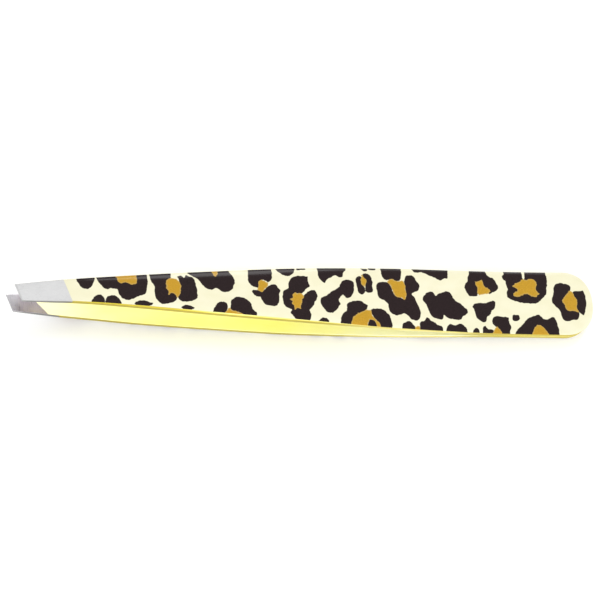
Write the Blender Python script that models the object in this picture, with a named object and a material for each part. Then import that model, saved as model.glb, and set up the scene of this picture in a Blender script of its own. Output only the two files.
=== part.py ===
"""Slant tweezers: two bowed spring-steel arms, welded together at the heel, with slanted bare tips.

The arms are drawn in a frame of their own, in millimetres: X runs from the tips to the heel, Y is
the width and Z is the height from the middle plane between the arms. The lower arm mirrors the
upper one. An empty then lays the whole thing down as it rests on a table, on the lower arm's
bulge and the heel, with +Z up, the tips towards -X and the origin under the middle of its box.
"""

import math

import bpy
import bmesh

MM = 0.001

# Driving dimensions, in millimetres, each list as (distance from the tips, value).
LENGTH = 95.0
HALF_WIDTH = [(0, 1.33), (9, 1.85), (22, 2.76), (32, 3.47), (45, 4.25), (60, 4.83), (75, 5.07), (95, 5.2)]
OUTER_HEIGHT = [(0, 3.18), (9, 4.75), (15, 5.1), (22, 5.2), (33, 4.88), (45, 4.45), (60, 3.08), (75, 1.58), (84, 1.2), (95, 1.2)]
THICKNESS = [(0, 0.5), (4, 1.0), (9, 1.27), (15, 1.43), (45, 1.45), (60, 1.32), (75, 1.15), (84, 1.05), (95, 1.05)]
HEEL_ROUND = 5.1  # length of the rounded end
HEEL_SQUARENESS = 2.25  # power of its superellipse
SLANT = math.tan(math.radians(20))  # lean of the tip edge across the width
SLANT_FADE = (8.3, 22.0)  # the sections turn from slanted to square between these distances
LAND = 1.2  # length of the flat that grips, behind the tip edge
BARE_TIP = 8.0  # length of the arm that has no print
EDGE_RADIUS = 0.5  # round of the printed face's long edges
PRINT = 0.15  # thickness of the print under its lacquer
CHAMFER = 0.12  # on the inner face's edges
GAP = 0.1  # between pieces that touch
SPLIT = 0.3  # between the lengths of one arm
FLEXURE = 72.0  # where each arm bends when it is squeezed
CLOSING_ANGLE = math.radians(2.1)  # each arm's turn until the tips meet
REST_FLAT = 5.0  # length of the flat that the lower arm lies on
WELDS = {"front_weld": 84.5, "rear_weld": 90.0}
WELD_RADIUS = 1.2
WELD_DEPTH = 0.35  # how far a weld pocket goes into each arm

# Finishes: colour, metallic, roughness.
GOLD = ((0.86, 0.74, 0.31), 1.0, 0.22)
BARE_STEEL = ((0.62, 0.62, 0.63), 1.0, 0.3)
LACQUERED_PRINT = ((0.93, 0.88, 0.66), 0.0, 0.15)
WELD_METAL = ((0.42, 0.4, 0.38), 1.0, 0.5)


def smooth_value(points, at):
    """The height at one distance of a smooth curve through (distance, height) points."""
    xs = [x for x, _ in points]
    ys = [y for _, y in points]
    i = max(0, min(len(points) - 2, sum(at >= x for x in xs) - 1))

    def slope(k):
        low, high = max(k - 1, 0), min(k + 1, len(xs) - 1)
        return (ys[high] - ys[low]) / (xs[high] - xs[low])

    step = xs[i + 1] - xs[i]
    t = min(max((at - xs[i]) / step, 0.0), 1.0)
    bend = 3 * t * t - 2 * t * t * t
    rise = slope(i) * step * (t - 2 * t * t + t * t * t)
    fall = slope(i + 1) * step * (t * t * t - t * t)
    return ys[i] * (1 - bend) + ys[i + 1] * bend + rise + fall


def half_width(s):
    """Half the arm's width, drawn in to a round end at the heel."""
    along_end = max(0.0, (s - (LENGTH - HEEL_ROUND)) / HEEL_ROUND)
    end = (1 - along_end**HEEL_SQUARENESS) ** (1 / HEEL_SQUARENESS)
    return smooth_value(HALF_WIDTH, s) * end


def rest_line():
    """(contact distance, slope) of the line that touches the bulge and the heel's end."""
    heel = OUTER_HEIGHT[-1][1]
    contact, slope = 0.0, 0.0
    for step in range(200, 700):
        s = step / 10
        found = (smooth_value(OUTER_HEIGHT, s) - heel) / (LENGTH - EDGE_RADIUS - s)
        if found > slope:
            contact, slope = s, found
    return contact, slope


CONTACT, REST_SLOPE = rest_line()
FLAT_START = CONTACT - REST_FLAT / 2
FLAT_END = CONTACT + REST_FLAT / 2


def outer(s):
    """Height of the printed face, flat where the arm rests and rounded off at the heel's end."""
    height = smooth_value(OUTER_HEIGHT, s)
    if FLAT_START <= s <= FLAT_END:
        height = OUTER_HEIGHT[-1][1] + REST_SLOPE * (LENGTH - EDGE_RADIUS - s)
    into_end = max(0.0, s - (LENGTH - EDGE_RADIUS))
    return height - EDGE_RADIUS + math.sqrt(EDGE_RADIUS**2 - into_end**2)


def inner(s):
    """Height of the inner face. Its last stretch is the land, flat against the other when closed."""
    height = smooth_value(OUTER_HEIGHT, s) - smooth_value(THICKNESS, s)
    tip = OUTER_HEIGHT[0][1] - THICKNESS[0][1]
    behind_land = max(0.0, (s - LAND) / LAND)
    land = tip - math.tan(CLOSING_ANGLE) * min(s, LAND)
    return land * (1 - min(behind_land, 1.0)) + height * min(behind_land, 1.0)


def slanted(s, y):
    """Distance along the arm of a point at station s and width y: the tip leans back from its +Y corner."""
    start, end = SLANT_FADE
    fade = min(max((s - start) / (end - start), 0.0), 1.0)
    return s + SLANT * (1 - fade * fade * (3 - 2 * fade)) * (half_width(0) - y)


def corner_arc(centre_y, centre_z, radius, steps=4):
    """Points from the side round to the top of a corner."""
    angles = [math.pi / 2 * i / steps for i in range(steps + 1)]
    return [(centre_y + radius * math.cos(a), centre_z + radius * math.sin(a)) for a in angles]


def both_sides(half):
    """A closed section from its +Y half, which runs from the inner face to the outer."""
    return half + [(-y, z) for y, z in reversed(half)]


def inner_corner(s):
    return [(half_width(s) - CHAMFER, inner(s)), (half_width(s), inner(s) + CHAMFER)]


def arm_section(s):
    """The steel under the print: its long edges step in by the print's thickness."""
    w, top = half_width(s), outer(s)
    rim = PRINT + GAP
    wall_top = top - EDGE_RADIUS - GAP
    step = [(w, wall_top), (w - rim, wall_top)]
    arc = corner_arc(w - EDGE_RADIUS, top - EDGE_RADIUS, EDGE_RADIUS - rim)
    return both_sides(inner_corner(s) + step + arc)


def print_section(s):
    """The print: a thin channel that wraps over both long edges."""
    w, top = half_width(s), outer(s)
    centre = (w - EDGE_RADIUS, top - EDGE_RADIUS)
    outside = corner_arc(*centre, EDGE_RADIUS)
    inside = corner_arc(*centre, EDGE_RADIUS - PRINT)
    across_back = [(-y, z) for y, z in inside]
    return outside + [(-y, z) for y, z in reversed(outside)] + across_back + inside[::-1]


def tip_section(s):
    """The bare tip, ground thinner towards its edge."""
    w, top = half_width(s), outer(s)
    radius = 0.4 * (top - inner(s))
    return both_sides(inner_corner(s) + corner_arc(w - radius, top - radius, radius))


def stations(start, end, step, extra=()):
    """Distances from start to end, no further apart than step, with any extra ones between."""
    count = math.ceil((end - start) / step)
    even = [start + (end - start) * i / count for i in range(count + 1)]
    far = [s for s in even if all(abs(s - e) > 0.3 * step for e in extra)]
    return sorted({even[0], even[-1], *far, *[e for e in extra if start < e < end]})


def heel_stations():
    """Stations that close in on the heel's end, stopping at a small flat."""
    straight = stations(FLEXURE + SPLIT / 2, LENGTH - HEEL_ROUND, 2.2)
    turns = [math.radians(a) for a in (20, 35, 48, 59, 68, 75, 80.5)]
    return straight + [LENGTH - HEEL_ROUND * (1 - math.sin(a)) for a in turns]


def loft(name, section, distances, side, parent):
    """A closed mesh through the sections. side is 1 for the upper arm and -1 for the lower one."""
    mesh = bpy.data.meshes.new(name)
    shape = bmesh.new()
    rings = []
    for s in distances:
        points = [(slanted(s, y), y, side * z) for y, z in section(s)]
        rings.append([shape.verts.new([MM * value for value in point]) for point in points])
    for ring, following in zip(rings, rings[1:]):
        for i, vert in enumerate(ring):
            shape.faces.new((ring[i - 1], vert, following[i], following[i - 1]))
    shape.faces.new(rings[0])
    shape.faces.new(rings[-1])
    bmesh.ops.recalc_face_normals(shape, faces=shape.faces)
    bmesh.ops.transform(shape, matrix=parent["mesh_shift"], verts=shape.verts)
    shape.to_mesh(mesh)
    shape.free()
    mesh.shade_smooth()
    mesh.set_sharp_from_angle(angle=math.radians(35))
    return add_object(name, mesh, parent["empty"])


def add_object(name, mesh, parent):
    piece = bpy.data.objects.new(name, mesh)
    bpy.context.scene.collection.objects.link(piece)
    piece.parent = parent
    return piece


def add_finish(piece, finish):
    """A Principled material of the piece's own."""
    colour, metallic, roughness = finish
    material = bpy.data.materials.new(piece.name + "_finish")
    material.use_nodes = True
    shader = material.node_tree.nodes["Principled BSDF"]
    shader.inputs["Base Color"].default_value = (*colour, 1.0)
    shader.inputs["Metallic"].default_value = metallic
    shader.inputs["Roughness"].default_value = roughness
    piece.data.materials.append(material)


def add_joint_frame(name, location, parent=None):
    """An empty to hang pieces on, and the shift that brings their meshes to its origin."""
    empty = bpy.data.objects.new(name, None)
    bpy.context.scene.collection.objects.link(empty)
    empty.parent = parent
    empty.location = location
    return {"empty": empty, "mesh_shift": empty.matrix_basis.inverted()}


def add_resting_frame():
    """The empty that lays the tweezers down, at rest on the bulge and the heel."""
    lean = math.atan(REST_SLOPE)
    tip_x = slanted(0, half_width(0)) * math.cos(lean) - outer(0) * math.sin(lean)
    heel_x = LENGTH * math.cos(lean) + inner(LENGTH) * math.sin(lean)
    drop = CONTACT * math.sin(lean) + outer(CONTACT) * math.cos(lean)
    empty = bpy.data.objects.new("tweezers", None)
    bpy.context.scene.collection.objects.link(empty)
    empty.location = (-MM * (tip_x + heel_x) / 2, 0, MM * drop)
    empty.rotation_euler = (0, lean, 0)
    return empty


def cut_weld_pockets(heel, resting):
    """Shallow round pockets in the heel's inner face, one for each weld."""
    for name, s in WELDS.items():
        cutter = add_disc(heel.name + "_" + name + "_cutter", s, WELD_RADIUS + GAP, inner(s) + WELD_DEPTH, resting)
        cutter.hide_render = True
        cutter.display_type = "WIRE"
        cut = heel.modifiers.new(name + "_pocket", "BOOLEAN")
        cut.operation = "DIFFERENCE"
        cut.solver = "EXACT"
        cut.object = cutter


def add_disc(name, s, radius, half_height, parent):
    """An upright disc centred between the arms."""
    mesh = bpy.data.meshes.new(name)
    shape = bmesh.new()
    bmesh.ops.create_cone(
        shape,
        cap_ends=True,
        segments=32,
        radius1=MM * radius,
        radius2=MM * radius,
        depth=2 * MM * half_height,
    )
    shape.to_mesh(mesh)
    shape.free()
    mesh.shade_smooth()
    mesh.set_sharp_from_angle(angle=math.radians(35))
    disc = add_object(name, mesh, parent)
    disc.location = (MM * s, 0, 0)
    return disc


def add_arm(name, side, resting):
    """One arm: the heel stays with the welds, and the blade, tip and blade print turn together."""
    heel_frame = add_joint_frame(name + "_heel_frame", (0, 0, 0), resting)
    pivot_height = side * (outer(FLEXURE) + inner(FLEXURE)) / 2
    blade_frame = add_joint_frame(name + "_flexure", (MM * FLEXURE, 0, MM * pivot_height), resting)
    flat = (FLAT_START, FLAT_END)
    blade_stations = stations(BARE_TIP + SPLIT / 2, FLEXURE - SPLIT / 2, 3.0, flat)
    tip_stations = stations(0, LAND, LAND / 2) + stations(LAND, BARE_TIP - SPLIT / 2, 1.0)[1:]
    pieces = [
        ("_arm_heel", arm_section, heel_stations(), heel_frame, GOLD),
        ("_arm_blade", arm_section, blade_stations, blade_frame, GOLD),
        ("_arm_tip", tip_section, tip_stations, blade_frame, BARE_STEEL),
        ("_heel_print", print_section, heel_stations(), heel_frame, LACQUERED_PRINT),
        ("_blade_print", print_section, blade_stations, blade_frame, LACQUERED_PRINT),
    ]
    for suffix, section, distances, frame, finish in pieces:
        piece = loft(name + suffix, section, distances, side, frame)
        add_finish(piece, finish)
        if suffix == "_arm_heel":
            cut_weld_pockets(piece, resting)


def add_welds(resting):
    """The fused spots that hold the two arms together."""
    for name, s in WELDS.items():
        weld = add_disc(name, s, WELD_RADIUS, inner(s) + WELD_DEPTH - GAP, resting)
        add_finish(weld, WELD_METAL)


def main():
    for old in list(bpy.data.objects):
        bpy.data.objects.remove(old)
    resting = add_resting_frame()
    add_arm("upper", 1, resting)
    add_arm("lower", -1, resting)
    add_welds(resting)


main()
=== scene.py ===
"""The looks of the slant tweezers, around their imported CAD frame.

Each arm is drawn in millimetres in the arms' own frame: s is the distance from the tips, y is the
width and z is the height from the middle plane between the arms. arm_space() finds that frame in
the CAD model. The driving dimensions below are the CAD model's own, but for a heel that ends
0.07 mm sooner, so that the rounded surface stays inside the CAD box.
"""

import math

import bpy
import bmesh
import numpy as np
from mathutils import Matrix, Vector


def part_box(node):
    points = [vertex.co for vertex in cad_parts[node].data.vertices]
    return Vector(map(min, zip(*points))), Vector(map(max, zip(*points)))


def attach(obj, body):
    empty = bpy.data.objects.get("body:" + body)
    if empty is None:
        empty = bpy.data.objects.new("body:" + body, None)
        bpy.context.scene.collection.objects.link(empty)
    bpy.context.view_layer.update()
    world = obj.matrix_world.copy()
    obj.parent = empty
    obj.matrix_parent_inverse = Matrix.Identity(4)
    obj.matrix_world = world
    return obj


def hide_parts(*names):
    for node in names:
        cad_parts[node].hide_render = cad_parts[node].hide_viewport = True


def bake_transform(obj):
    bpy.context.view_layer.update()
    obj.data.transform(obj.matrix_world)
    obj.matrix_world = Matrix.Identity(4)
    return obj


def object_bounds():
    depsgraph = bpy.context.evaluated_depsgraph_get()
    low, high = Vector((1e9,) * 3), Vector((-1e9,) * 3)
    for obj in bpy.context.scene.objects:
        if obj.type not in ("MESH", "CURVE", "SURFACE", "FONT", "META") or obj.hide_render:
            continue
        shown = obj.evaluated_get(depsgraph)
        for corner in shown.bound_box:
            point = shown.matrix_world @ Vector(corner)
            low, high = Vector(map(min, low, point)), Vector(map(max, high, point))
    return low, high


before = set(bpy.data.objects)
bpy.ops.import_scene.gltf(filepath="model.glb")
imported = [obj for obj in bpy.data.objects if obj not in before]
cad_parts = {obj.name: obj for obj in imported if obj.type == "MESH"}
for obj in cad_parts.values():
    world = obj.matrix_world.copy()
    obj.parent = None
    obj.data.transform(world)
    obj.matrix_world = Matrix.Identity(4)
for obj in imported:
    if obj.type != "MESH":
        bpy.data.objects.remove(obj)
cad_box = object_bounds()

MM = 0.001

# The arms' driving dimensions, each list as (distance from the tips, value).
LENGTH = 94.93
HALF_WIDTH = [
    (0, 1.33), (9, 1.85), (22, 2.76), (32, 3.47), (45, 4.25), (60, 4.83), (75, 5.07), (95, 5.2),
]
OUTER_HEIGHT = [
    (0, 3.18), (9, 4.75), (15, 5.1), (22, 5.2), (33, 4.88), (45, 4.45), (60, 3.08), (75, 1.58),
    (84, 1.2), (95, 1.2),
]
THICKNESS = [
    (0, 0.5), (4, 1.0), (9, 1.27), (15, 1.43), (45, 1.45), (60, 1.32), (75, 1.15), (84, 1.05),
    (95, 1.05),
]
HEEL_ROUND = 5.03  # length of the heel's rounded end
HEEL_SQUARENESS = 2.25  # at 2 that end would be half an ellipse
SLANT = math.tan(math.radians(20))
SLANT_FADE = (8.3, 22.0)  # the slant of the sections fades out between these distances
CLOSING_ANGLE = math.radians(2.1)  # how far each arm turns to close the tips
LAND = 1.2  # length of the gripping land
LAND_END = 2.2 * LAND  # where the inner face has risen from the land to its own height
REST_FLAT = (42.4, 47.4)  # the straight stretch that the lower arm rests on
WELDS = {"front_weld": 84.5, "rear_weld": 90.0}

# The finer shape, which only the visible surface has. The outer face's edges are rounded over a
# width that changes along the arm.
EDGE_ROUND = [
    (0, 0.16), (7, 0.25), (10, 0.9), (20, 1.5), (32, 1.7), (45, 1.6), (60, 1.1), (75, 0.9), (95, 0.8),
]
EDGE_DEPTH = 0.3  # depth of that rounding, as a share of its width
INNER_RADIUS = 0.08  # round of the inner face's long edges
CROWN = 0.05  # how far the printed face falls away towards its edges
TIP_BEVEL = (0.08, 0.18)  # height and length of the bevel along the slanted edge
HEEL_PRESS = 0.11  # the welded heels touch, closer than their CAD solids
HEEL_PRESS_FADE = (76, 84)  # the distances between which the heels come together
BARE_INSIDE = 4.5  # length of bare steel on the inner face
BARE_LEAN = 0.95  # how much further back that goes at its -Y edge
BARE_OUTSIDE = 7.45  # length of bare steel on the walls and the outer face
PRINT_THICKNESS = 0.06
PRINT_PROUD = 0.02  # how far the print stands out from the gold side walls

# How far the print stays in from the arm's -Y edge, and from its +Y edge and the heel's end.
NEAR_MARGIN = [
    (0, 0.1), (10, 0.12), (20, 0.22), (40, 0.24), (50, 0.14), (60, 0.03), (95, 0.03),
]
FAR_MARGIN = 0.03

WALL_LOOK = 0.2  # share of the outer rounding over which the walls' look, painted shade with some deeper plating, fades out
WALL_LOOK_FADE = (20, 32)  # between these distances its reach, as mark_walls() says, falls from 2 to 1

# How finely the meshes are drawn.
LIP_RINGS = [0.0, 0.004, 0.01, 0.018, 0.028, 0.04]  # over the bevel, as shares of the tip's length
TIP_RINGS = 30  # behind those
ARM_STEP = 0.5  # between the arm's rings
PRINT_STEP = 0.2  # between the print's rings
PRINT_ROWS = 84  # across the print's top
PRINT_UNDER_ROWS = 14  # across its hidden underside
HEEL_RINGS = 20  # rings round the heel's end, besides those that the step asks for
HEEL_TURN = 89.7  # degrees round that end at its last ring
SHARP_ANGLE = math.radians(40)  # edges that turn by more than this are shaded sharp
MARK_REACH = 1.0  # how far outside a mark its distance is still worked out


# Profiles. Distances and heights are numpy arrays in millimetres.


def curve(points, at):
    """The values at some distances of a smooth curve through (distance, value) points."""
    xs, ys = np.array(points, float).T
    slopes = np.gradient(ys, xs)
    slopes[1:-1] = (ys[2:] - ys[:-2]) / (xs[2:] - xs[:-2])
    i = np.clip(np.searchsorted(xs, at, side="right") - 1, 0, len(xs) - 2)
    step = xs[i + 1] - xs[i]
    t = np.clip((at - xs[i]) / step, 0, 1)
    bend = t * t * (3 - 2 * t)
    lean = slopes[i] * step * t * (1 - t) ** 2 - slopes[i + 1] * step * t * t * (1 - t)
    return ys[i] * (1 - bend) + ys[i + 1] * bend + lean


def fade(value, start, end):
    """0 up to start and 1 past end, with a smooth turn between."""
    t = np.clip((value - start) / (end - start), 0, 1)
    return t * t * (3 - 2 * t)


def into_heel(s):
    """Share of the way along the heel's rounded end."""
    return np.clip((s - (LENGTH - HEEL_ROUND)) / HEEL_ROUND, 0, 1)


def half_width(s):
    return curve(HALF_WIDTH, s) * (1 - into_heel(s) ** HEEL_SQUARENESS) ** (1 / HEEL_SQUARENESS)


def edge_distance(s, y):
    """Distance in from the arm's outline, along its sides and round its end."""
    across = np.abs(y) / curve(HALF_WIDTH, s)
    along = into_heel(s)
    power = HEEL_SQUARENESS
    reach = np.maximum((across**power + along**power) ** (1 / power), 1e-6)
    slope_along = (along / reach) ** (power - 1) / HEEL_ROUND
    slope_across = (across / reach) ** (power - 1) / curve(HALF_WIDTH, s)
    return np.clip(1 - reach, 0, None) / np.maximum(np.hypot(slope_along, slope_across), 1e-6)


def rounded_drop(distance, width, depth, softness=2):
    """How far a round edge falls, at a distance in from the outline."""
    outwards = np.clip(1 - distance / width, 0, 1)
    return depth * (1 - np.sqrt(1 - outwards**softness))


def outer_face(s, y):
    """Height of the outer face, straight where the lower arm rests on the table."""
    height = curve(OUTER_HEIGHT, s)
    flat_heights = curve(OUTER_HEIGHT, np.array(REST_FLAT))
    on_flat = (s > REST_FLAT[0]) & (s < REST_FLAT[1])
    height = np.where(on_flat, np.interp(s, REST_FLAT, flat_heights), height)
    bevel, bevel_length = TIP_BEVEL
    height = height - bevel * (1 - fade(s, 0, bevel_length))
    height = height - CROWN * (y / curve(HALF_WIDTH, s)) ** 2
    width = curve(EDGE_ROUND, s)
    return height - rounded_drop(edge_distance(s, y), width, EDGE_DEPTH * width, softness=3)


def inner_face(s, y):
    """Height of the inner face: the gripping land, the sprung length and the pressed heel."""
    height = curve(OUTER_HEIGHT, s) - curve(THICKNESS, s)
    tip = OUTER_HEIGHT[0][1] - THICKNESS[0][1]
    land = tip - math.tan(CLOSING_ANGLE) * np.minimum(s, LAND)
    height = land + (height - land) * fade(s, LAND, LAND_END)
    height = height - HEEL_PRESS * fade(s, *HEEL_PRESS_FADE)
    return height + rounded_drop(edge_distance(s, y), INNER_RADIUS, INNER_RADIUS)


def slanted(s, y):
    """Distance along the arm once the tip's sections lean back from its +Y corner."""
    return s + SLANT * (1 - fade(s, *SLANT_FADE)) * (HALF_WIDTH[0][1] - y)


def arm_space():
    """The matrix from the arms' own frame, in metres, to the row frame, read off the welds."""
    front, rear = [sum(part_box(name), Vector()) / 2 for name in WELDS]
    along = (rear - front).normalized()
    across = Vector((0, 1, 0))
    turn = Matrix((along, across, along.cross(across))).transposed().to_4x4()
    return Matrix.Translation(rear - along * WELDS["rear_weld"] * MM) @ turn


ARM_SPACE = arm_space()


# Sections. Each row is (share of the half width, shares of the outer and of the inner rounding's
# width, share of the way from the inner face to the outer one).


def face_rows(edge_steps, middle_steps, outer):
    """Rows across one face from +Y to -Y, closer together on its round edges."""
    angles = np.pi / 2 * np.arange(edge_steps) / edge_steps
    edge = np.stack([np.ones(edge_steps), np.cos(angles) - 1], axis=1)
    middle = np.linspace(1, -1, middle_steps + 1)
    across = np.vstack([edge, np.stack([middle, -middle], axis=1), -edge[::-1]])
    rows = np.zeros((len(across), 4))
    rows[:, 0] = across[:, 0]
    rows[:, 1 if outer else 2] = across[:, 1]
    rows[:, 3] = outer
    return rows


def wall_rows(side, steps):
    """Rows up one side wall, without its two edges."""
    rows = np.zeros((steps - 1, 4))
    rows[:, 0] = side
    rows[:, 3] = np.arange(1, steps) / steps
    return rows


def closed_section():
    """The outer face, the -Y wall, the inner face and the +Y wall."""
    outer = face_rows(edge_steps=6, middle_steps=16, outer=True)
    inner = face_rows(edge_steps=4, middle_steps=10, outer=False)
    near_wall = wall_rows(-1, steps=6)[::-1]
    far_wall = wall_rows(1, steps=6)
    return np.vstack([outer, near_wall, inner[::-1], far_wall])


def bare_boundary(section):
    """Where the bare steel ends: further back from a third of the way up the walls on."""
    inside = BARE_INSIDE - BARE_LEAN * section[:, 0]
    return inside + (BARE_OUTSIDE - inside) * np.minimum(3 * section[:, 3], 1)


def section_points(section, s, inset):
    """Points (s, y, z) of a section, under the outer face by the inset and as far in from the outline.

    The roundings get narrower where the heel's end does.
    """
    width = half_width(s)
    y = section[:, 0] * np.maximum(width - inset, 0.01)
    y = y + section[:, 1] * np.minimum(curve(EDGE_ROUND, s), 0.45 * width)
    y = y + section[:, 2] * np.minimum(INNER_RADIUS, 0.2 * width)
    s = s - inset * into_heel(s)
    top = outer_face(s, y) - inset
    bottom = inner_face(s, y)
    return np.stack([s, y, bottom + (top - bottom) * section[:, 3]], axis=1)


def print_points(steps, distance, inset):
    """Points (s, y, z) across the print from +Y to -Y, under the outer face by the inset.

    The margins get narrower where the heel's end does.
    """
    s = np.full(steps + 1, distance)
    width = half_width(s)
    far_edge = width - inset - np.minimum(FAR_MARGIN, 0.1 * width)
    near_edge = width - inset - np.minimum(curve(NEAR_MARGIN, s), 0.1 * width)
    across = np.sin(np.linspace(np.pi / 2, -np.pi / 2, steps + 1))
    y = across * np.maximum(np.where(across > 0, far_edge, near_edge), 0.01)
    s = s - (inset + FAR_MARGIN) * into_heel(s)
    return np.stack([s, y, outer_face(s, y) - inset], axis=1)


def heel_distances(start, step):
    """Distances from start to the heel's end, closing in round its rounded end."""
    straight_end = LENGTH - HEEL_ROUND
    straight = np.linspace(start, straight_end, int((straight_end - start) / step) + 1)
    around = 1.6 * HEEL_ROUND  # a little over the length of a quarter turn
    turn = np.radians(np.linspace(0, HEEL_TURN, int(around / step) + HEEL_RINGS))[1:]
    return np.concatenate([straight, straight_end + HEEL_ROUND * np.sin(turn)])


# Meshes.


def loft(name, rings, side):
    """A closed piece through rings of points, on the upper arm (side 1) or the lower one (-1).

    It comes with its points in the arms' own frame.
    """
    rings = np.array(rings)
    count, size, _ = rings.shape
    flat = rings.reshape(-1, 3)
    drawn = np.stack([slanted(flat[:, 0], flat[:, 1]), flat[:, 1], flat[:, 2]], axis=1)
    space = np.array(ARM_SPACE)
    places = (drawn * (1, 1, side) * MM) @ space[:3, :3].T + space[:3, 3]
    first = np.arange(count - 1)[:, None] * size + np.arange(size)
    following = np.roll(first, -1, axis=1)
    quads = np.stack([first, following, following + size, first + size], axis=2).reshape(-1, 4)
    ends = [list(range(size))[::-1], list(range((count - 1) * size, count * size))]
    mesh = bpy.data.meshes.new(name)
    mesh.from_pydata(places.tolist(), [], quads.tolist() + ends)
    face_outwards(mesh)
    add_attribute(mesh, "arm_mm", "FLOAT_VECTOR", drawn)
    mesh.shade_smooth()
    mesh.set_sharp_from_angle(angle=SHARP_ANGLE)
    piece = bpy.data.objects.new(name, mesh)
    bpy.context.scene.collection.objects.link(piece)
    return piece, drawn


def face_outwards(mesh):
    shape = bmesh.new()
    shape.from_mesh(mesh)
    bmesh.ops.recalc_face_normals(shape, faces=shape.faces)
    shape.to_mesh(mesh)
    shape.free()


def add_attribute(mesh, name, kind, values):
    attribute = mesh.attributes.new(name, kind, "POINT")
    key = "vector" if kind == "FLOAT_VECTOR" else "value"
    attribute.data.foreach_set(key, np.asarray(values, np.float32).ravel())


def mark_walls(piece, section, reaches):
    """Marks the side walls with 1 and the faces with 0, for the materials.

    Each ring has its reach: at 1 the walls' look, painted shade with some deeper plating, fades out
    over the first WALL_LOOK of the outer roundings, and at 2 over the next.
    """
    between = (section[:, 3] > 0) & (section[:, 3] < 1)
    on_edge = (section[:, 3] == 1) & (np.abs(section[:, 0]) == 1)
    low_on_edge = np.clip(np.array(reaches)[:, None] - np.abs(section[:, 1]) / WALL_LOOK, 0, 1)
    add_attribute(piece.data, "wall", "FLOAT", np.maximum(between, on_edge * low_on_edge))
    add_attribute(piece.data, "outside", "FLOAT", np.tile(section[:, 3], len(reaches)))


def make_tip(name, side):
    """The bare, ground tip, with its gripping land and bevelled, slanted edge."""
    section = closed_section()
    rings = []
    for share in [*LIP_RINGS, *np.linspace(0.06, 1.0, TIP_RINGS)]:
        rings.append(section_points(section, bare_boundary(section) * share, PRINT_PROUD))
    piece, _ = loft(name, rings, side)
    mark_walls(piece, section, np.ones(len(rings)))
    return piece


def make_gold_arm(name, side):
    """The plated arm behind its bare tip. Its outer face lies just under the print."""
    section = closed_section()
    distances = heel_distances(BARE_OUTSIDE, ARM_STEP)
    rings = []
    for distance in distances:
        along = (distance - BARE_OUTSIDE) / (LENGTH - BARE_OUTSIDE)
        s = bare_boundary(section) * (1 - along) + LENGTH * along
        rings.append(section_points(section, s, PRINT_PROUD))
    piece, _ = loft(name, rings, side)
    mark_walls(piece, section, 2 - fade(distances, *WALL_LOOK_FADE))
    return piece


def make_print(name, side, turned):
    """The lacquered print: a thin skin over the outer face, with its marks as distances.

    A turned one has the same marks, with tips and heel swapped.
    """
    rings = []
    for distance in heel_distances(BARE_OUTSIDE, PRINT_STEP):
        top = print_points(PRINT_ROWS, distance, 0.0)
        under = print_points(PRINT_UNDER_ROWS, distance, PRINT_THICKNESS)
        rings.append(np.vstack([top, under[::-1]]))
    piece, drawn = loft(name, rings, side)
    along = LENGTH + BARE_OUTSIDE - drawn[:, 0] if turned else drawn[:, 0]
    add_attribute(piece.data, "black_mm", "FLOAT", mark_distance(BLACK, along, drawn[:, 1]))
    add_attribute(piece.data, "tan_mm", "FLOAT", mark_distance(TAN, along, drawn[:, 1]))
    return piece


# The print's marks, drawn as closed outlines of (distance from the tips, y). A mark that
# the arm's edge cuts off runs past that edge. The tan centres lie on top of the black marks.

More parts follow.
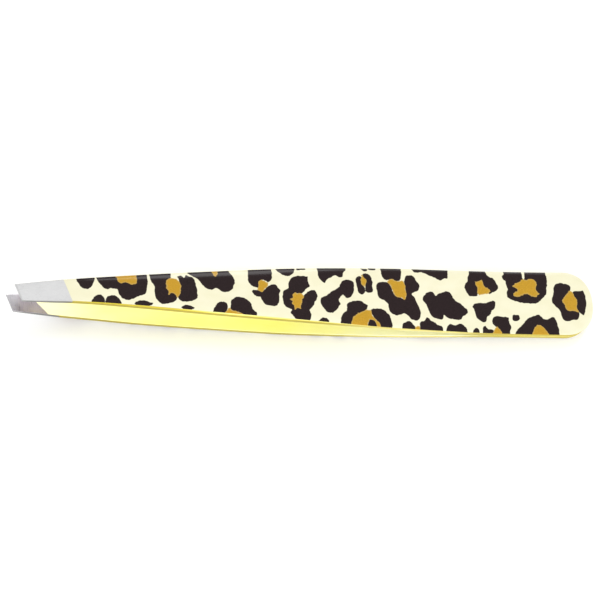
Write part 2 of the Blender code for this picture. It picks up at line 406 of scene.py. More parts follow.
BLACK = [
    [
        (9.1, 2.6), (9.3, 1.5), (9.7, 0.8), (10.1, 0.3), (10.6, 0.15), (11.1, 0.2), (11.6, 0.65),
        (12.1, 1.6), (12.2, 2.8),
    ],
    [
        (11.4, -2.3), (11.5, -1.7), (11.8, -1.15), (12.5, -0.75), (13.1, -0.85), (13.45, -1.35),
        (13.5, -2.4),
    ],
    [
        (13.7, -2.4), (13.7, -1.3), (14.1, -0.92), (15.1, -0.88), (15.8, -1.4), (16.15, -2.0),
        (16.0, -2.5),
    ],
    [
        (12.4, 3.0), (12.5, 1.6), (13.0, 0.8), (13.5, 0.3), (14.0, 0.08), (14.6, 0.3), (15.2, 0.15),
        (15.55, 0.2), (15.75, -0.5), (16.2, -1.25), (16.9, -1.58), (17.6, -1.5), (18.4, -1.2),
        (19.1, -0.85), (19.9, -0.65), (20.2, 0.1), (20.4, 1.3), (20.4, 3.2),
    ],
    [
        (18.05, -2.15), (18.5, -1.75), (19.3, -1.58), (20.3, -1.75), (21.05, -2.0), (20.9, -2.3),
        (19.8, -2.4), (18.7, -2.35),
    ],
    [
        (20.8, 3.2), (20.85, 1.8), (21.45, 0.6), (21.4, -0.5), (21.7, -1.4), (22.3, -2.0),
        (23.0, -2.15), (24.0, -1.9), (24.75, -1.55), (25.0, -1.1), (24.75, -0.6), (24.4, -0.2),
        (24.0, 0.0), (23.9, 0.7), (24.0, 1.5), (24.1, 2.0), (24.3, 3.3),
    ],
    [
        (25.2, 2.3), (25.8, 2.5), (26.3, 2.1), (26.6, 2.6), (27.1, 2.4), (27.7, 2.2), (28.0, 1.6),
        (28.3, -0.1), (28.25, -1.1), (27.5, -1.5), (26.0, -1.7), (25.25, -1.4), (25.1, -0.9),
        (25.4, 0.0), (25.6, 0.9),
    ],
    [(25.55, -2.6), (26.2, -2.2), (27.1, -2.3), (27.75, -2.65), (27.3, -2.9), (26.1, -2.9)],
    [
        (26.9, 2.95), (27.5, 3.8), (33.3, 4.0), (34.0, 2.8), (34.5, 1.95), (34.25, 0.95),
        (33.7, 0.2), (32.8, -0.05), (32.0, 0.25), (31.4, 0.6), (30.6, 0.28), (29.7, 0.6),
        (29.0, 1.3), (28.5, 2.0), (27.8, 2.3),
    ],
    [
        (30.6, -3.3), (31.1, -2.25), (31.7, -1.65), (32.5, -1.53), (33.0, -1.9), (33.0, -2.75),
        (32.6, -3.5), (31.6, -3.8),
    ],
    [
        (33.5, -2.75), (33.6, -2.0), (33.8, -1.25), (34.7, -0.7), (35.5, -0.8), (36.3, -1.1),
        (37.0, -1.9), (37.1, -2.6), (37.8, -3.2), (37.8, -3.8), (36.2, -3.7), (35.0, -3.25),
        (34.0, -3.0),
    ],
    [
        (37.0, 4.5), (36.65, 2.1), (36.8, 1.6), (37.6, 0.9), (38.3, 0.75), (38.6, 1.7), (39.2, 2.1),
        (39.9, 1.75), (40.3, 2.0), (40.65, 2.5), (40.5, 4.6),
    ],
    [
        (37.2, 0.2), (37.5, 0.45), (38.5, 0.4), (39.2, 0.5), (39.8, 1.1), (40.3, 1.35), (41.0, 1.5),
        (41.5, 0.85), (41.9, 0.45), (41.6, -0.1), (41.6, -1.1), (41.2, -1.9), (40.3, -2.1),
        (39.2, -1.8), (38.7, -1.2), (38.5, -0.65), (37.9, -0.6), (37.3, -0.1),
    ],
    [(41.3, 4.7), (41.4, 3.85), (42.2, 3.1), (43.2, 2.8), (44.1, 3.2), (44.5, 4.0), (44.5, 4.8)],
    [(44.8, 3.85), (46.3, 4.0), (46.3, 4.5), (44.85, 4.4)],
    [
        (42.25, 0.1), (42.5, 0.5), (43.2, 0.95), (43.3, 1.9), (44.3, 2.8), (45.8, 2.95),
        (46.6, 2.85), (46.5, 2.1), (46.75, 1.3), (46.0, 0.7), (45.2, 0.0), (44.5, 0.1), (44.1, -0.5),
        (43.9, -1.2), (44.2, -1.9), (43.9, -2.5), (43.3, -2.45), (42.7, -2.25), (42.2, -1.6),
    ],
    [
        (46.0, 0.1), (46.8, 0.6), (47.5, 0.7), (48.0, -0.2), (47.5, -1.1), (47.0, -2.05),
        (46.4, -2.5), (46.75, -3.3), (46.4, -4.4), (45.0, -4.4), (44.2, -4.0), (43.3, -3.1),
        (43.6, -2.5), (44.3, -2.2), (44.8, -2.2), (45.1, -1.4), (45.5, -0.4),
    ],
    [
        (48.2, 5.2), (48.3, 4.0), (48.3, 2.9), (48.7, 2.35), (49.3, 1.97), (49.8, 2.5), (50.5, 2.95),
        (51.2, 3.25), (51.9, 2.9), (52.4, 3.15), (52.7, 3.9), (53.05, 4.3), (53.1, 5.2),
    ],
    [
        (53.0, 2.65), (52.2, 2.3), (51.7, 1.45), (50.2, 0.45), (49.3, -0.15), (48.5, -0.5),
        (48.4, -1.2), (49.0, -2.4), (49.8, -2.9), (50.7, -2.6), (51.7, -1.4), (51.5, -0.6),
        (52.3, 0.15), (52.6, -0.2), (53.0, -0.4), (53.5, -0.2), (53.8, 0.2), (54.15, 0.6),
        (54.15, 1.4), (54.25, 2.2), (53.8, 2.55),
    ],
    [(47.7, -5.2), (47.75, -4.4), (48.2, -3.9), (48.75, -3.62), (49.7, -4.07), (49.75, -5.2)],
    [
        (51.7, -5.3), (51.6, -4.2), (51.8, -3.3), (52.3, -2.65), (52.75, -2.3), (52.8, -1.5),
        (53.3, -1.0), (54.2, -0.8), (55.2, -0.7), (55.7, -1.05), (56.35, -1.35), (56.2, -1.9),
        (55.7, -2.4), (55.0, -2.8), (54.3, -3.2), (53.9, -3.8), (53.8, -5.3),
    ],
    [(55.65, 4.6), (55.8, 4.35), (56.2, 4.15), (56.65, 4.2), (56.75, 4.6)],
    [(56.85, 4.4), (57.5, 4.35), (58.15, 4.42), (58.2, 4.9), (56.9, 4.9)],
    [
        (54.55, 2.8), (54.8, 3.1), (55.4, 3.35), (55.75, 3.0), (55.8, 2.0), (56.05, 1.4),
        (56.05, 0.8), (55.9, 0.5), (55.5, 0.25), (55.0, 0.5), (54.8, 1.2), (54.65, 2.1),
    ],
    [
        (55.8, 3.5), (55.95, 3.75), (56.3, 3.8), (57.0, 3.6), (57.25, 3.25), (57.3, 2.8),
        (57.5, 2.3), (57.35, 1.7), (57.45, 1.0), (57.2, 0.68), (56.5, 0.65), (56.2, 1.0),
        (56.2, 1.6), (55.9, 2.6),
    ],
    [
        (56.85, -2.1), (57.3, -1.9), (58.3, -1.85), (59.0, -2.0), (59.6, -2.5), (60.0, -3.0),
        (60.2, -3.8), (60.35, -4.5), (60.3, -5.4), (58.5, -5.4), (58.3, -4.6), (57.8, -3.95),
        (57.2, -3.3), (56.9, -2.7),
    ],
    [(56.0, -5.4), (56.2, -4.3), (56.5, -3.6), (57.1, -3.6), (57.5, -4.1), (57.8, -4.7), (57.8, -5.4)],
    [
        (59.05, 5.2), (59.0, 4.1), (59.2, 3.4), (59.5, 2.95), (60.2, 2.9), (60.8, 3.05), (61.3, 2.8),
        (62.1, 2.8), (62.4, 3.6), (62.5, 5.2),
    ],
    [
        (58.3, 2.35), (59.3, 2.5), (60.1, 2.4), (60.5, 1.9), (60.7, 1.2), (61.0, 0.5), (61.4, 0.15),
        (62.0, 0.15), (62.6, -0.2), (63.0, 0.3), (62.95, 1.3), (62.85, 2.4), (62.9, 3.1),
        (63.2, 3.6), (63.9, 3.85), (64.4, 3.75), (64.8, 3.3), (65.1, 2.75), (65.5, 2.3), (65.3, 1.6),
        (64.8, 1.2), (64.1, 0.9), (63.9, 0.65), (64.25, 0.4), (64.6, -0.1), (64.9, -0.8),
        (65.15, -1.5), (65.3, -2.2), (65.0, -3.2), (64.5, -3.55), (64.0, -3.5), (63.4, -3.2),
        (63.0, -2.7), (62.5, -2.5), (61.9, -2.65), (61.3, -2.85), (60.8, -2.75), (60.2, -2.4),
        (59.9, -1.9), (59.85, -1.1), (59.5, -0.75), (59.1, -0.4), (58.6, -0.3), (58.25, 0.1),
        (58.15, 0.8), (58.0, 1.5),
    ],
    [
        (64.3, 5.3), (64.5, 4.5), (65.2, 4.28), (66.0, 4.45), (66.9, 4.05), (67.8, 3.75),
        (68.5, 3.5), (69.1, 3.17), (69.8, 3.6), (70.4, 3.6), (70.55, 4.2), (70.6, 5.4),
    ],
    [
        (62.0, -5.3), (62.0, -4.3), (62.5, -3.9), (63.3, -3.7), (63.7, -3.9), (63.9, -4.3),
        (64.4, -4.85), (64.4, -5.3),
    ],
    [
        (65.0, -5.4), (65.0, -4.2), (65.2, -3.7), (65.8, -3.5), (66.3, -2.95), (66.7, -3.1),
        (67.0, -3.45), (67.6, -3.7), (68.1, -4.1), (68.7, -4.25), (69.0, -4.6), (68.9, -5.4),
    ],
    [
        (65.8, 0.1), (66.2, 0.7), (66.9, 1.2), (67.7, 1.3), (67.9, 0.9), (68.2, 0.6), (68.5, 0.95),
        (69.2, 1.2), (69.9, 1.5), (70.5, 1.35), (70.9, 1.0), (71.0, 0.6), (71.5, 0.0), (72.1, -0.35),
        (72.5, -0.6), (73.0, -1.1), (73.4, -1.35), (73.4, -1.9), (73.0, -2.3), (72.5, -2.6),
        (72.3, -3.0), (71.8, -3.15), (70.8, -3.0), (70.2, -3.0), (69.6, -2.7), (69.3, -2.4),
        (69.2, -2.9), (68.8, -3.2), (68.1, -3.1), (67.3, -2.8), (66.8, -2.2), (66.65, -1.4),
        (66.2, -0.6), (65.85, -0.1),
    ],
    [
        (69.5, -5.4), (69.6, -4.6), (69.9, -4.1), (70.4, -3.85), (71.0, -4.05), (71.7, -3.8),
        (72.3, -3.75), (72.7, -4.1), (73.15, -4.6), (73.2, -5.4),
    ],
    [(74.1, -5.5), (74.2, -4.7), (74.6, -4.35), (75.0, -4.35), (75.25, -4.8), (75.25, -5.5)],
    [
        (75.9, -5.5), (75.8, -4.7), (76.0, -4.0), (76.3, -3.95), (76.6, -4.4), (77.2, -4.5),
        (77.7, -4.7), (77.6, -5.5),
    ],
    [
        (73.2, 2.2), (73.5, 2.9), (73.85, 3.3), (73.9, 4.0), (74.2, 4.5), (74.3, 5.4), (76.9, 5.4),
        (77.2, 4.5), (77.8, 4.1), (78.4, 3.8), (78.7, 3.3), (79.0, 2.4), (78.7, 1.9), (78.1, 1.6),
        (77.5, 1.3), (77.0, 1.6), (76.2, 1.7), (75.6, 1.6), (75.3, 0.95), (74.5, 0.8), (73.9, 0.9),
        (73.5, 1.5),
    ],
    [
        (74.3, -0.9), (74.7, -0.4), (75.5, -0.25), (76.4, -0.2), (77.2, -0.05), (77.8, 0.2),
        (78.3, 0.1), (78.2, -0.7), (77.9, -1.2), (77.6, -1.4), (77.4, -2.0), (76.8, -2.4),
        (76.6, -2.9), (76.4, -3.3), (75.9, -3.35), (75.4, -3.0), (74.9, -2.7), (74.7, -2.0),
        (74.6, -1.3),
    ],
    [
        (77.6, -2.9), (77.9, -2.4), (78.4, -2.25), (79.1, -2.4), (79.8, -2.35), (80.4, -2.4),
        (80.4, -3.3), (80.7, -4.0), (80.5, -4.6), (80.4, -5.5), (79.3, -5.5), (78.9, -4.9),
        (78.4, -4.2), (78.0, -4.05), (77.55, -3.5),
    ],
    [
        (80.95, -2.5), (81.1, -2.1), (81.5, -2.0), (82.1, -2.0), (82.3, -2.35), (82.1, -2.9),
        (81.5, -3.05), (81.05, -2.9),
    ],
    [
        (80.3, 5.5), (80.1, 4.6), (79.8, 4.2), (80.0, 3.75), (80.35, 3.5), (80.4, 2.9), (80.65, 2.3),
        (80.5, 1.8), (80.35, 1.15), (80.7, 0.7), (81.4, 0.35), (82.3, 0.1), (83.2, -0.05),
        (84.3, -0.1), (85.2, -0.1), (85.8, 0.25), (86.4, 0.8), (87.1, 1.5), (87.25, 2.5),
        (87.45, 3.4), (87.35, 4.4), (87.1, 5.5), (83.75, 5.5), (83.65, 4.1), (83.5, 3.6),
        (83.3, 4.1), (83.15, 5.5),
    ],
    [
        (81.3, -5.5), (81.4, -4.8), (82.0, -4.2), (82.7, -3.6), (83.2, -2.9), (84.0, -2.4),
        (84.8, -2.1), (85.4, -1.9), (85.9, -2.15), (86.3, -2.6), (87.0, -2.65), (87.6, -2.3),
        (88.1, -2.3), (88.4, -2.8), (88.6, -3.6), (88.8, -4.4), (88.8, -5.6), (87.3, -5.6),
        (86.7, -4.8), (86.2, -4.2), (85.4, -3.8), (84.7, -4.2), (84.2, -5.6),
    ],
    [
        (88.0, 0.1), (88.0, 0.8), (88.3, 1.4), (88.4, 2.2), (88.6, 2.9), (89.1, 3.3), (89.8, 3.35),
        (90.6, 3.25), (91.1, 3.0), (91.35, 2.6), (91.1, 1.9), (90.8, 1.4), (90.3, 1.0), (90.1, 0.4),
        (90.4, -0.2), (90.6, -1.0), (91.1, -1.1), (91.8, -1.05), (92.3, -1.3), (92.4, -1.9),
        (92.2, -2.5), (91.6, -2.7), (91.0, -2.75), (90.3, -2.95), (89.7, -2.7), (89.4, -2.1),
        (89.3, -1.4), (88.9, -0.8), (88.4, -0.4),
    ],
    [
        (91.75, 2.05), (92.5, 2.05), (93.4, 2.15), (93.6, 1.6), (93.75, 0.8), (93.75, 0.0),
        (93.6, -0.8), (93.4, -1.5), (93.2, -1.95), (92.9, -1.8), (92.55, -1.45), (92.2, -1.1),
        (91.9, -0.4), (91.8, 0.4), (91.7, 1.1), (91.6, 1.6),
    ],
]

TAN = [
    [
        (15.4, 3.0), (15.6, 1.6), (15.95, 1.15), (16.7, 1.15), (17.3, 1.2), (17.6, 0.9), (18.5, 1.0),
        (18.7, 1.6), (18.75, 3.0),
    ],
    [
        (23.6, 1.8), (24.4, 1.95), (25.2, 1.85), (25.6, 1.2), (25.7, 0.5), (25.5, -0.4),
        (25.2, -0.9), (25.05, -1.3), (24.9, -0.8), (24.6, -0.45), (24.1, -0.4), (23.55, -0.7),
        (23.65, -0.1), (23.2, 0.4), (23.5, 0.7), (23.3, 1.1),
    ],
    [(30.8, 4.0), (31.1, 2.7), (31.5, 2.45), (31.8, 2.7), (31.9, 4.0)],
    [
        (32.5, -3.4), (33.0, -2.85), (33.4, -2.4), (33.7, -2.8), (34.5, -3.0), (35.5, -3.3),
        (36.0, -3.8), (36.0, -4.7), (32.2, -4.7),
    ],
    [
        (38.4, 1.8), (38.9, 2.15), (39.5, 1.85), (39.95, 1.45), (39.9, 1.1), (39.4, 0.75),
        (39.1, 0.3), (38.75, 0.15), (38.4, 0.35), (37.75, 0.5), (38.3, 0.9), (38.35, 1.3),
    ],
    [
        (44.3, 0.35), (44.6, -0.05), (45.1, 0.15), (45.55, -0.1), (45.7, -0.5), (45.3, -0.9),
        (45.35, -1.3), (45.0, -1.9), (45.1, -2.4), (44.5, -2.3), (44.0, -2.5), (43.95, -2.0),
        (43.6, -1.6), (43.7, -1.2), (43.25, -0.9), (43.85, -0.55), (43.9, -0.1),
    ],
    [
        (55.6, 3.5), (55.55, 2.9), (55.4, 2.3), (55.7, 1.8), (56.0, 1.45), (56.25, 1.9),
        (56.45, 2.4), (56.3, 2.9), (56.0, 3.1), (55.85, 3.5),
    ],
    [
        (53.5, -5.4), (53.4, -4.3), (53.6, -3.6), (54.3, -3.0), (55.0, -2.5), (55.7, -2.3),
        (56.3, -2.1), (56.8, -2.2), (56.9, -2.8), (57.3, -3.4), (57.9, -4.0), (58.3, -4.6),
        (58.5, -5.4), (57.7, -5.4), (57.6, -4.4), (57.2, -3.75), (56.6, -3.7), (56.2, -4.2),
        (56.1, -5.4),
    ],
    [
        (60.0, 2.6), (60.4, 3.0), (61.0, 3.1), (61.3, 2.8), (62.2, 2.8), (62.6, 2.95), (62.9, 2.4),
        (63.0, 1.6), (63.05, 0.5), (62.75, -0.45), (62.3, 0.05), (61.5, 0.2), (61.1, 0.5),
        (60.8, 1.2), (60.6, 1.8), (60.2, 2.3),
    ],
    [(64.2, -5.4), (64.2, -4.7), (64.6, -4.35), (65.0, -4.4), (65.1, -5.4)],
    [
        (75.1, 3.3), (75.6, 3.35), (76.3, 3.7), (76.5, 3.2), (76.55, 2.75), (77.1, 2.3),
        (77.7, 1.85), (77.3, 1.4), (76.5, 1.2), (75.6, 1.1), (75.35, 1.5), (75.4, 2.3),
    ],
    [(77.2, -5.6), (77.7, -4.7), (77.95, -4.2), (78.3, -4.0), (78.6, -4.3), (79.0, -4.8), (79.6, -5.6)],
    [
        (81.4, 2.6), (82.0, 3.1), (82.7, 3.5), (83.3, 3.85), (84.0, 3.8), (84.6, 4.0), (85.2, 3.9),
        (85.6, 3.5), (85.5, 2.8), (85.4, 2.2), (85.9, 1.5), (85.5, 1.1), (84.8, 1.0), (84.3, 1.2),
        (83.9, 1.6), (83.3, 1.3), (82.6, 1.1), (81.6, 0.95), (81.5, 1.5), (82.2, 1.9), (82.2, 2.3),
    ],
    [
        (84.1, -5.6), (84.4, -4.6), (84.8, -3.9), (85.4, -3.6), (85.9, -3.7), (86.4, -4.3),
        (87.0, -5.0), (87.4, -5.6),
    ],
    [
        (91.1, 2.1), (91.5, 1.95), (91.8, 1.3), (92.2, 0.8), (92.25, 0.2), (92.1, -0.4),
        (92.35, -1.4), (91.4, -1.15), (90.6, -1.2), (90.3, -0.9), (90.2, -0.7), (90.0, -0.1),
        (89.7, 0.4), (90.1, 1.1), (90.6, 1.6),
    ],
]


def rounded(outline):
    """The outline with one more point between each two, on a smooth curve but for sharp corners."""
    points = np.array(outline)
    edges = np.roll(points, -1, axis=0) - points
    lengths = np.hypot(*edges.T)[:, None]
    ahead = edges / lengths
    behind = np.roll(ahead, 1, axis=0)
    straightness = np.clip(2 * np.sum(ahead * behind, axis=1, keepdims=True), 0, 1)
    flow = (ahead + behind) / 2 * straightness
    middles = points + edges / 2 + (flow - np.roll(flow, -1, axis=0)) * lengths / 8
    return np.stack([points, middles], axis=1).reshape(-1, 2)


def inside_outline(outline, x, y):
    """How far inside a closed outline each point lies, in millimetres, and negative outside."""
    nearest = np.full(len(x), np.inf)
    inside = np.zeros(len(x), bool)
    for (x0, y0), (x1, y1) in zip(outline, np.roll(outline, -1, axis=0)):
        dx, dy = x1 - x0, y1 - y0
        t = np.clip(((x - x0) * dx + (y - y0) * dy) / (dx * dx + dy * dy), 0, 1)
        nearest = np.minimum(nearest, np.hypot(x - x0 - dx * t, y - y0 - dy * t))
        crossed = (y0 > y) != (y1 > y)
        inside ^= crossed & (x - x0 < (y - y0) * dx / (dy or 1.0))
    return np.where(inside, nearest, -nearest)


def mark_distance(marks, along, across):
    """How far inside the marks each point lies, in millimetres: no less than -MARK_REACH."""
    distance = np.full(len(along), -MARK_REACH)
    for mark in marks:
        outline = rounded(mark)
        first, last = outline[:, 0].min(), outline[:, 0].max()
        near = (along > first - MARK_REACH) & (along < last + MARK_REACH)
        found = inside_outline(outline, along[near], across[near])
        distance[near] = np.maximum(distance[near], found)
    return distance


# Materials.


class Finish:
    """One node material on the arms' own coordinates, in millimetres."""

    def __init__(self, name):
        self.material = bpy.data.materials.new(name)
        self.material.use_nodes = True
        self.tree = self.material.node_tree
        self.shader = self.tree.nodes["Principled BSDF"]

    def set(self, **values):
        """Sets constants on the shader's own sockets."""
        for key, value in values.items():
            self.shader.inputs[key.replace("_", " ")].default_value = value

    def drive(self, key, output):
        """Links an output to one of the shader's sockets."""
        self.tree.links.new(output, self.shader.inputs[key])

    def attribute(self, name, output="Fac"):
        """A value that the mesh holds at each point."""
        node = self.tree.nodes.new("ShaderNodeAttribute")
        node.attribute_name = name
        return node.outputs[output]

    def along(self):
        """Distance from the tips, in millimetres."""
        node = self.tree.nodes.new("ShaderNodeSeparateXYZ")
        self.tree.links.new(self.attribute("arm_mm", "Vector"), node.inputs["Vector"])
        return node.outputs["X"]

    def plain_noise(self, scale):
        """Noise with so many features across the piece."""
        node = self.tree.nodes.new("ShaderNodeTexNoise")
        node.inputs["Scale"].default_value = scale
        return node.outputs["Fac"]

    def noise(self, scale, detail=2.0, roughness=0.5):
        """Noise with so many features a millimetre along, across and through the arm."""
        mapping = self.tree.nodes.new("ShaderNodeMapping")
        mapping.inputs["Scale"].default_value = scale
        node = self.tree.nodes.new("ShaderNodeTexNoise")
        node.inputs["Scale"].default_value = 1.0
        node.inputs["Detail"].default_value = detail
        node.inputs["Roughness"].default_value = roughness
        self.tree.links.new(self.attribute("arm_mm", "Vector"), mapping.inputs["Vector"])
        self.tree.links.new(mapping.outputs["Vector"], node.inputs["Vector"])
        return node.outputs["Fac"]

    def spread(self, value, low, high, to_low=0.0, to_high=1.0):
        """A value between low and high, smoothly turned into one between to_low and to_high."""
        node = self.tree.nodes.new("ShaderNodeMapRange")
        node.interpolation_type = "SMOOTHSTEP"
        self.tree.links.new(value, node.inputs["Value"])
        ranges = {"From Min": low, "From Max": high, "To Min": to_low, "To Max": to_high}
        for key, number in ranges.items():
            node.inputs[key].default_value = number
        return node.outputs["Result"]

    def math(self, operation, first, second):
        node = self.tree.nodes.new("ShaderNodeMath")
        node.operation = operation
        self.fill(node.inputs[0], first)
        self.fill(node.inputs[1], second)
        return node.outputs["Value"]

    def mix(self, share, first, second):
        """A colour or a number between two others."""
        node = self.tree.nodes.new("ShaderNodeMix")
        node.data_type = "RGBA"
        self.fill(node.inputs[0], share)
        self.fill(node.inputs[6], first)
        self.fill(node.inputs[7], second)
        return node.outputs[2]

    def mottled(self, noise, first, second):
        """A colour that wanders between two others."""
        return self.mix(self.spread(noise, 0.3, 0.7), first, second)

    def zones(self, colour, *later):
        """Colours along the arm. A later one is (start and end of the fade into it, colour)."""
        for start, end, following in later:
            colour = self.mix(self.spread(self.along(), start, end), colour, following)
        return colour

    def fill(self, socket, value):
        """Sets a socket to a colour or a number, or links an output to it."""
        if isinstance(value, tuple):
            socket.default_value = (*value, 1.0)
        elif isinstance(value, float):
            socket.default_value = value
        else:
            self.tree.links.new(value, socket)

    def bump(self, height, depth):
        """Relief: a height of 1 stands that many millimetres above a height of 0."""
        node = self.tree.nodes.new("ShaderNodeBump")
        node.inputs["Distance"].default_value = depth * MM
        self.tree.links.new(height, node.inputs["Height"])
        self.drive("Normal", node.outputs["Normal"])


def print_finish():
    """Cream, with brown-black marks and tan centres, under clear gloss lacquer."""
    m = Finish("lacquered_spot_print")
    ragged = m.spread(m.noise((1.8, 1.8, 1.8), 3.0), 0.2, 0.8, -0.07, 0.07)
    black_mm = m.math("ADD", m.attribute("black_mm"), ragged)
    tan_mm = m.math("ADD", m.attribute("tan_mm"), m.math("MULTIPLY", ragged, 1.6))
    clouds = m.noise((0.35, 0.6, 1.0), 3.0)
    speckle = m.noise((7.0, 7.0, 7.0), 2.0)
    cream = m.mottled(clouds, (0.70, 0.672, 0.475), (0.73, 0.702, 0.52))
    black = m.mottled(speckle, (0.009, 0.0035, 0.0035), (0.017, 0.008, 0.009))
    golden = m.mottled(speckle, (0.40, 0.222, 0.015), (0.49, 0.275, 0.020))
    pale_rim = (0.46, 0.30, 0.07)
    centre = m.mix(m.spread(tan_mm, 0.0, 0.22), pale_rim, golden)
    in_black = m.spread(black_mm, -0.04, 0.04)
    in_tan = m.spread(tan_mm, -0.05, 0.05)
    m.drive("Base Color", m.mix(in_tan, m.mix(in_black, cream, black), centre))
    m.drive("Roughness", m.spread(speckle, 0.2, 0.8, 0.28, 0.38))
    m.set(Specular_IOR_Level=0.0, Coat_Weight=0.36, Coat_Roughness=0.18, Coat_IOR=1.5)
    waves = m.noise((0.5, 0.9, 1.0), 2.0)
    m.bump(m.math("ADD", waves, m.math("MULTIPLY", in_black, 0.3)), 0.012)
    return m.material


def gold_finish():
    """A pale gold coating with faint drawing lines along the arm, deeper on the side walls.

    Its tone changes along the arm as painted light and shade: the faces are palest near the tips, a
    painted reflection, pale again where the arms close up, painted light against the shade between
    them, and darker and warmer on the heel, painted shade where the arms press together. The walls'
    deeper tone is painted shade, with some deeper plating on the cut edges.
    """
    m = Finish("gold_coating")
    clouds = m.noise((0.1, 0.3, 0.5), 3.0)
    lines = m.noise((0.12, 9.0, 9.0), 3.0, 0.6)
    # The faces' tones are painted light and shade: the paler tone near the tips is a painted
    # reflection, the paler one where the arms close up is painted light against the shade between them,
    # and the darker, warmer one on the heel is painted shade where the arms press together.
    pale = m.mottled(clouds, (0.96, 0.935, 0.56), (0.96, 0.945, 0.66))
    full = m.mottled(clouds, (0.95, 0.92, 0.33), (0.95, 0.935, 0.41))
    gold_painted_light = m.mottled(clouds, (0.98, 0.96, 0.62), (0.99, 0.98, 0.74))
    gold_painted_heel_shade = m.mottled(clouds, (0.78, 0.69, 0.16), (0.86, 0.77, 0.21))
    face = m.zones(pale, (7.0, 19.0, full), (44.0, 58.0, gold_painted_light), (71.0, 79.0, gold_painted_heel_shade))
    # The walls' dark tones are painted shade, with some deeper plating on the cut edges. They are
    # darkest near the tips, and the lightest one, where the arms close up, is painted light.
    deep_wall_and_painted_shade = m.mottled(lines, (0.36, 0.285, 0.02), (0.46, 0.37, 0.03))
    light = m.mottled(lines, (0.40, 0.325, 0.03), (0.51, 0.425, 0.05))
    wall_painted_light = m.mottled(lines, (0.68, 0.59, 0.17), (0.82, 0.73, 0.24))
    heel = m.mottled(lines, (0.48, 0.385, 0.05), (0.59, 0.485, 0.07))
    wall = m.zones(deep_wall_and_painted_shade, (14.0, 34.0, light), (48.0, 64.0, wall_painted_light), (70.0, 77.0, heel))
    m.drive("Base Color", m.mix(m.attribute("wall"), face, wall))
    m.drive("Roughness", m.spread(lines, 0.2, 0.8, 0.45, 0.6))
    m.set(Metallic=0.75)
    m.bump(lines, 0.006)
    return m.material


def steel_finish():
    """Bare steel, ground along its outer face and across its inner one."""
    m = Finish("bare_ground_steel")
    outside = m.spread(m.attribute("outside"), 0.1, 0.4)
    crosswise = m.noise((12.0, 0.4, 3.0), 3.0, 0.6)
    lengthwise = m.noise((0.4, 12.0, 6.0), 3.0, 0.6)
    lines = m.mix(outside, crosswise, lengthwise)
    clouds = m.noise((0.4, 0.6, 0.6), 3.0)
    outer = m.mottled(clouds, (0.51, 0.51, 0.515), (0.56, 0.56, 0.56))
    outer_lines = (0.59, 0.59, 0.59)
    # The inner face is darker behind the gripping land: painted shade between the arms.
    land = m.mottled(clouds, (0.49, 0.475, 0.50), (0.56, 0.54, 0.57))
    behind = m.mottled(clouds, (0.31, 0.275, 0.31), (0.355, 0.315, 0.35))
    inner = m.zones(land, (1.2, 2.4, behind))
    plain = m.mix(outside, inner, outer)
    lined = m.mix(outside, inner, outer_lines)
    ground = m.mix(m.spread(lines, 0.25, 0.75), plain, lined)
    # The side walls' dark grey is painted shade.
    wall = (0.19, 0.19, 0.18)
    m.drive("Base Color", m.mix(m.attribute("wall"), ground, wall))
    m.drive("Roughness", m.spread(lines, 0.2, 0.8, 0.24, 0.42))
    m.set(Metallic=1.0)
    m.bump(lines, 0.010)
    return m.material


def weld_finish():
    """Dull, heat-tinted weld metal."""
    m = Finish("weld_metal")
    tint = m.plain_noise(6.0)
    m.drive("Base Color", m.mottled(tint, (0.30, 0.25, 0.19), (0.46, 0.42, 0.36)))
    m.drive("Roughness", m.spread(tint, 0.2, 0.8, 0.4, 0.65))
    m.set(Metallic=1.0)
    m.bump(tint, 0.02)
    return m.material


def floor_finish():
    """A pale, matt studio surface."""
    m = Finish("pale_studio_floor")
    m.drive("Base Color", m.mottled(m.plain_noise(60.0), (0.95, 0.95, 0.95), (0.97, 0.97, 0.97)))
    m.set(Roughness=0.8, Specular_IOR_Level=0.1)
    return m.material


# The object.


def finish_piece(piece, finishes, slot, *nodes):
    """Gives a piece its slot's material, and hides the CAD nodes that it stands for."""
    piece.data.materials.append(finishes[slot])
    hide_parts(*nodes)


def add_arm(which, side, finishes):
    """One arm's plated steel and its print, and its bare tip, which rides on the blade."""
    blade = which + "_blade"
    arm = make_gold_arm(which + "_arm", side)
    finish_piece(arm, finishes, "gold_coating", which + "_arm_heel", which + "_arm_blade")
    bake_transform(arm)
    skin = make_print(which + "_print", side, turned=side < 0)
    finish_piece(skin, finishes, "lacquered_print", which + "_heel_print", which + "_blade_print")
    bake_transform(skin)
    tip = make_tip(which + "_tip", side)
    finish_piece(tip, finishes, "bare_steel", which + "_arm_tip")
    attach(tip, blade)


def finish_welds(finish):
    """The welds keep their CAD solids."""
    for name in WELDS:
        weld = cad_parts[name]
        weld.data.materials.clear()
        weld.data.materials.append(finish)


# The studio, in metres and watts.

FLOOR_RADIUS = 4.0
FLOOR_DROP = 0.00005  # keeps the floor just under the object
WHITE = (1.0, 1.0, 1.0, 1.0)

CAMERA_TURN = (15.5, 18.03, 4.17)  # degrees from straight above the arms to -Y and the tips, and roll
CAMERA_DISTANCE = 0.7
CAMERA_FIELD = 93.76  # width of the frame at the object, in millimetres
CAMERA_AIM = (-1.02, 0.305)  # from the arms' middle to the frame's, right and up in millimetres


def add_floor():
    mesh = bpy.data.meshes.new("floor")
    shape = bmesh.new()
    bmesh.ops.create_circle(shape, cap_ends=True, segments=96, radius=FLOOR_RADIUS)
    shape.to_mesh(mesh)
    shape.free()
    floor = bpy.data.objects.new("floor", mesh)
    floor.location.z = cad_box[0].z - FLOOR_DROP
    mesh.materials.append(floor_finish())
    bpy.context.scene.collection.objects.link(floor)


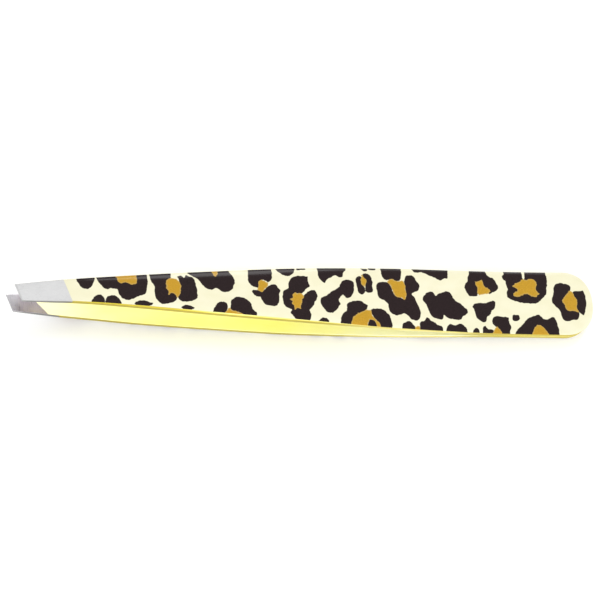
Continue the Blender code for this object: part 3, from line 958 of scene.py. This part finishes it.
def add_softbox(name, location, width, height, power):
    """An area light that faces the object."""
    light = bpy.data.lights.new(name, "AREA")
    light.shape = "RECTANGLE"
    light.size = width
    light.size_y = height
    light.energy = power
    lamp = bpy.data.objects.new(name, light)
    lamp.location = location
    lamp.rotation_mode = "QUATERNION"
    lamp.rotation_quaternion = (-Vector(location)).to_track_quat("-Z", "Y")
    bpy.context.scene.collection.objects.link(lamp)


def add_studio():
    world = bpy.data.worlds.new("studio")
    bpy.context.scene.world = world
    world.use_nodes = True
    background = world.node_tree.nodes["Background"]
    background.inputs["Color"].default_value = WHITE
    background.inputs["Strength"].default_value = 1.0
    add_softbox("top_softbox", (-0.2, -0.1, 1.1), 0.9, 0.9, 1.0)
    add_softbox("front_softbox", (0.1, -1.0, 0.28), 0.5, 0.5, 5.4)
    add_softbox("back_softbox", (0.32, 0.68, 0.58), 0.26, 0.56, 2.8)
    bpy.context.scene.view_settings.view_transform = "Standard"


def add_camera():
    """A long lens over the arms, leaning a little towards -Y and the tips."""
    tilt, yaw, roll = [math.radians(angle) for angle in CAMERA_TURN]
    aim_right, aim_up = CAMERA_AIM
    towards = Vector((-math.sin(yaw) * math.cos(tilt), -math.sin(tilt), math.cos(yaw) * math.cos(tilt)))
    level = Vector((math.cos(yaw), 0, math.sin(yaw)))
    upright = towards.cross(level)
    right = level * math.cos(roll) - upright * math.sin(roll)
    up = level * math.sin(roll) + upright * math.cos(roll)
    aim = (Vector((LENGTH / 2, 0, 0)) + right * aim_right + up * aim_up) * MM
    turn = Matrix((right, up, towards)).transposed().to_4x4()
    camera = bpy.data.objects.new("camera", bpy.data.cameras.new("camera"))
    camera.data.lens = camera.data.sensor_width * CAMERA_DISTANCE / (CAMERA_FIELD * MM)
    camera.matrix_world = ARM_SPACE @ Matrix.Translation(aim + towards * CAMERA_DISTANCE) @ turn
    camera.data.clip_start = 0.01
    bpy.context.scene.collection.objects.link(camera)
    bpy.context.scene.camera = camera


def main():
    finishes = {
        "gold_coating": gold_finish(),
        "bare_steel": steel_finish(),
        "lacquered_print": print_finish(),
    }
    add_arm("upper", 1, finishes)
    add_arm("lower", -1, finishes)
    finish_welds(weld_finish())
    add_floor()
    add_studio()
    add_camera()


main()
